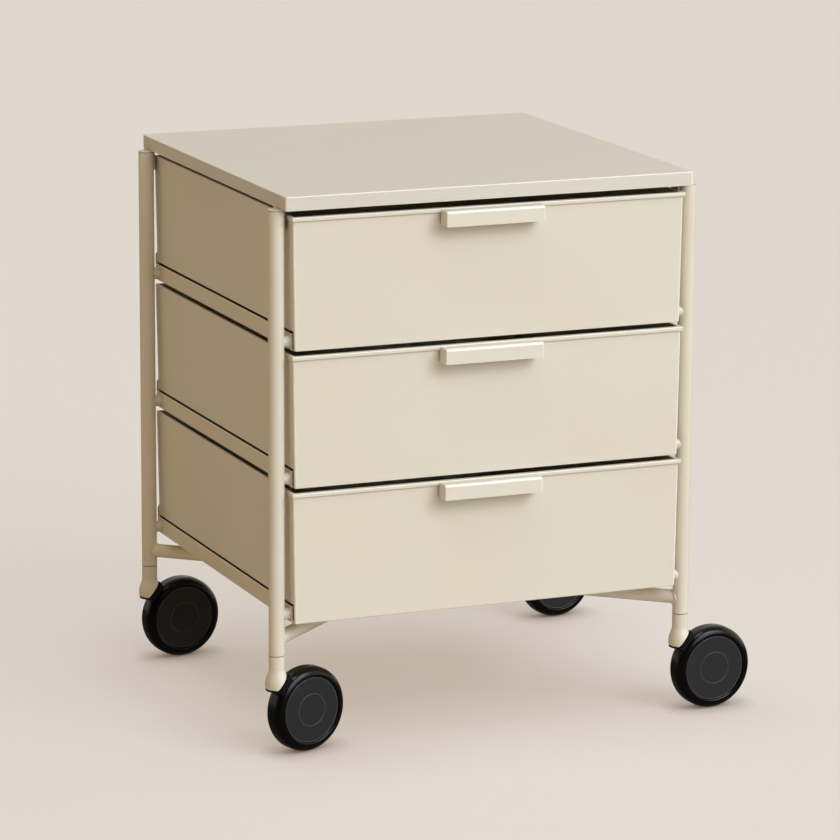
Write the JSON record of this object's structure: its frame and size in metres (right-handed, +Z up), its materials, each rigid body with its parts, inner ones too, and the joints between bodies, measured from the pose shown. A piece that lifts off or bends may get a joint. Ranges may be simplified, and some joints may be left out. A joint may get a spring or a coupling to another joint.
{
  "type": "mobile drawer cabinet",
  "caption": "Low mobile cabinet: slide-out drawers on rails in a frame of round posts under a flat lid, on swivel castors.",
  "frame": {"origin": "on the floor, under the middle of the whole object's box, castors included", "axes": "+Z up, -Y towards the drawers' fronts, +X to the right as seen from the front"},
  "size_m": [0.5988, 0.4952, 0.635],
  "materials": {
    "frame_paint": "satin cream powder coat",
    "lid_board": "board with a satin cream laminate",
    "drawer_plastic": "moulded, satin cream",
    "handle_plastic": "moulded, satin cream",
    "slide_nylon": "dark nylon",
    "zinc_screws": "zinc plated",
    "plain_steel": "turned",
    "tyre_rubber": "smooth black rubber",
    "black_nylon": "moulded black",
    "cover_nylon": "moulded charcoal, fine texture"
  },
  "bodies": {
    "cabinet_frame": {"brace_tube_front_right": "frame_paint", "brace_tube_long": "frame_paint", "brace_tube_rear_left": "frame_paint", "castor_sockets": "plain_steel", "castor_stems": "plain_steel", "front_pads": "slide_nylon", "lid": "lid_board", "lid_brackets": "frame_paint", "lid_screws": "zinc_screws", "post_caps": "frame_paint", "post_front_left": "frame_paint", "post_front_right": "frame_paint", "post_rear_left": "frame_paint", "post_rear_right": "frame_paint", "rail_left_bottom": "frame_paint", "rail_left_middle": "frame_paint", "rail_left_top": "frame_paint", "rail_right_bottom": "frame_paint", "rail_right_middle": "frame_paint", "rail_right_top": "frame_paint", "rail_screws": "zinc_screws", "rail_spacers": "frame_paint"},
    "top_drawer": {"top_drawer_tub": "drawer_plastic", "top_drawer_handle": "handle_plastic", "top_handle_screws": "zinc_screws", "top_drawer_runners": "slide_nylon"},
    "middle_drawer": {"middle_drawer_tub": "drawer_plastic", "middle_drawer_handle": "handle_plastic", "middle_handle_screws": "zinc_screws", "middle_drawer_runners": "slide_nylon"},
    "bottom_drawer": {"bottom_drawer_tub": "drawer_plastic", "bottom_drawer_handle": "handle_plastic", "bottom_handle_screws": "zinc_screws", "bottom_drawer_runners": "slide_nylon"},
    "castor_front_left": {"castor_shoe_front_left": "frame_paint", "castor_guard_front_left": "black_nylon", "castor_axle_front_left": "plain_steel"},
    "wheel_front_left": {"castor_hub_front_left": "black_nylon", "castor_tyre_front_left": "tyre_rubber", "castor_cover_front_left": "cover_nylon"},
    "castor_front_right": {"castor_shoe_front_right": "frame_paint", "castor_guard_front_right": "black_nylon", "castor_axle_front_right": "plain_steel"},
    "wheel_front_right": {"castor_hub_front_right": "black_nylon", "castor_tyre_front_right": "tyre_rubber", "castor_cover_front_right": "cover_nylon"},
    "castor_rear_left": {"castor_shoe_rear_left": "frame_paint", "castor_guard_rear_left": "black_nylon", "castor_axle_rear_left": "plain_steel"},
    "wheel_rear_left": {"castor_hub_rear_left": "black_nylon", "castor_tyre_rear_left": "tyre_rubber", "castor_cover_rear_left": "cover_nylon"},
    "castor_rear_right": {"castor_shoe_rear_right": "frame_paint", "castor_guard_rear_right": "black_nylon", "castor_axle_rear_right": "plain_steel"},
    "wheel_rear_right": {"castor_hub_rear_right": "black_nylon", "castor_tyre_rear_right": "tyre_rubber", "castor_cover_rear_right": "cover_nylon"}
  },
  "joints": [
    {"name": "top_drawer_slide", "type": "slide", "parent": "cabinet_frame", "child": "top_drawer", "axis": [0, -1, 0], "range_m": [0, 0.33]},
    {"name": "middle_drawer_slide", "type": "slide", "parent": "cabinet_frame", "child": "middle_drawer", "axis": [0, -1, 0], "range_m": [0, 0.33]},
    {"name": "bottom_drawer_slide", "type": "slide", "parent": "cabinet_frame", "child": "bottom_drawer", "axis": [0, -1, 0], "range_m": [0, 0.33]},
    {"name": "swivel_front_left", "type": "hinge", "parent": "cabinet_frame", "child": "castor_front_left", "pos_m": [-0.28664, -0.21113, 0.1165], "axis": [0, 0, 1], "continuous": true},
    {"name": "roll_front_left", "type": "hinge", "parent": "castor_front_left", "child": "wheel_front_left", "pos_m": [-0.24802, -0.19895, 0.0485], "axis": [-0.3007, 0.9537, 0], "continuous": true},
    {"name": "swivel_front_right", "type": "hinge", "parent": "cabinet_frame", "child": "castor_front_right", "pos_m": [0.21036, -0.21113, 0.1165], "axis": [0, 0, 1], "continuous": true},
    {"name": "roll_front_right", "type": "hinge", "parent": "castor_front_right", "child": "wheel_front_right", "pos_m": [0.25073, -0.20795, 0.0485], "axis": [-0.0785, 0.9969, 0], "continuous": true},
    {"name": "swivel_rear_left", "type": "hinge", "parent": "cabinet_frame", "child": "castor_rear_left", "pos_m": [-0.28664, 0.22087, 0.1165], "axis": [0, 0, 1], "continuous": true},
    {"name": "roll_rear_left", "type": "hinge", "parent": "castor_rear_left", "child": "wheel_rear_left", "pos_m": [-0.24649, 0.22616, 0.0485], "axis": [-0.1305, 0.9914, 0], "continuous": true},
    {"name": "swivel_rear_right", "type": "hinge", "parent": "cabinet_frame", "child": "castor_rear_right", "pos_m": [0.21036, 0.22087, 0.1165], "axis": [0, 0, 1], "continuous": true},
    {"name": "roll_rear_right", "type": "hinge", "parent": "castor_rear_right", "child": "wheel_rear_right", "pos_m": [0.25036, 0.22721, 0.0485], "axis": [-0.1564, 0.9877, 0], "continuous": true}
  ]
}
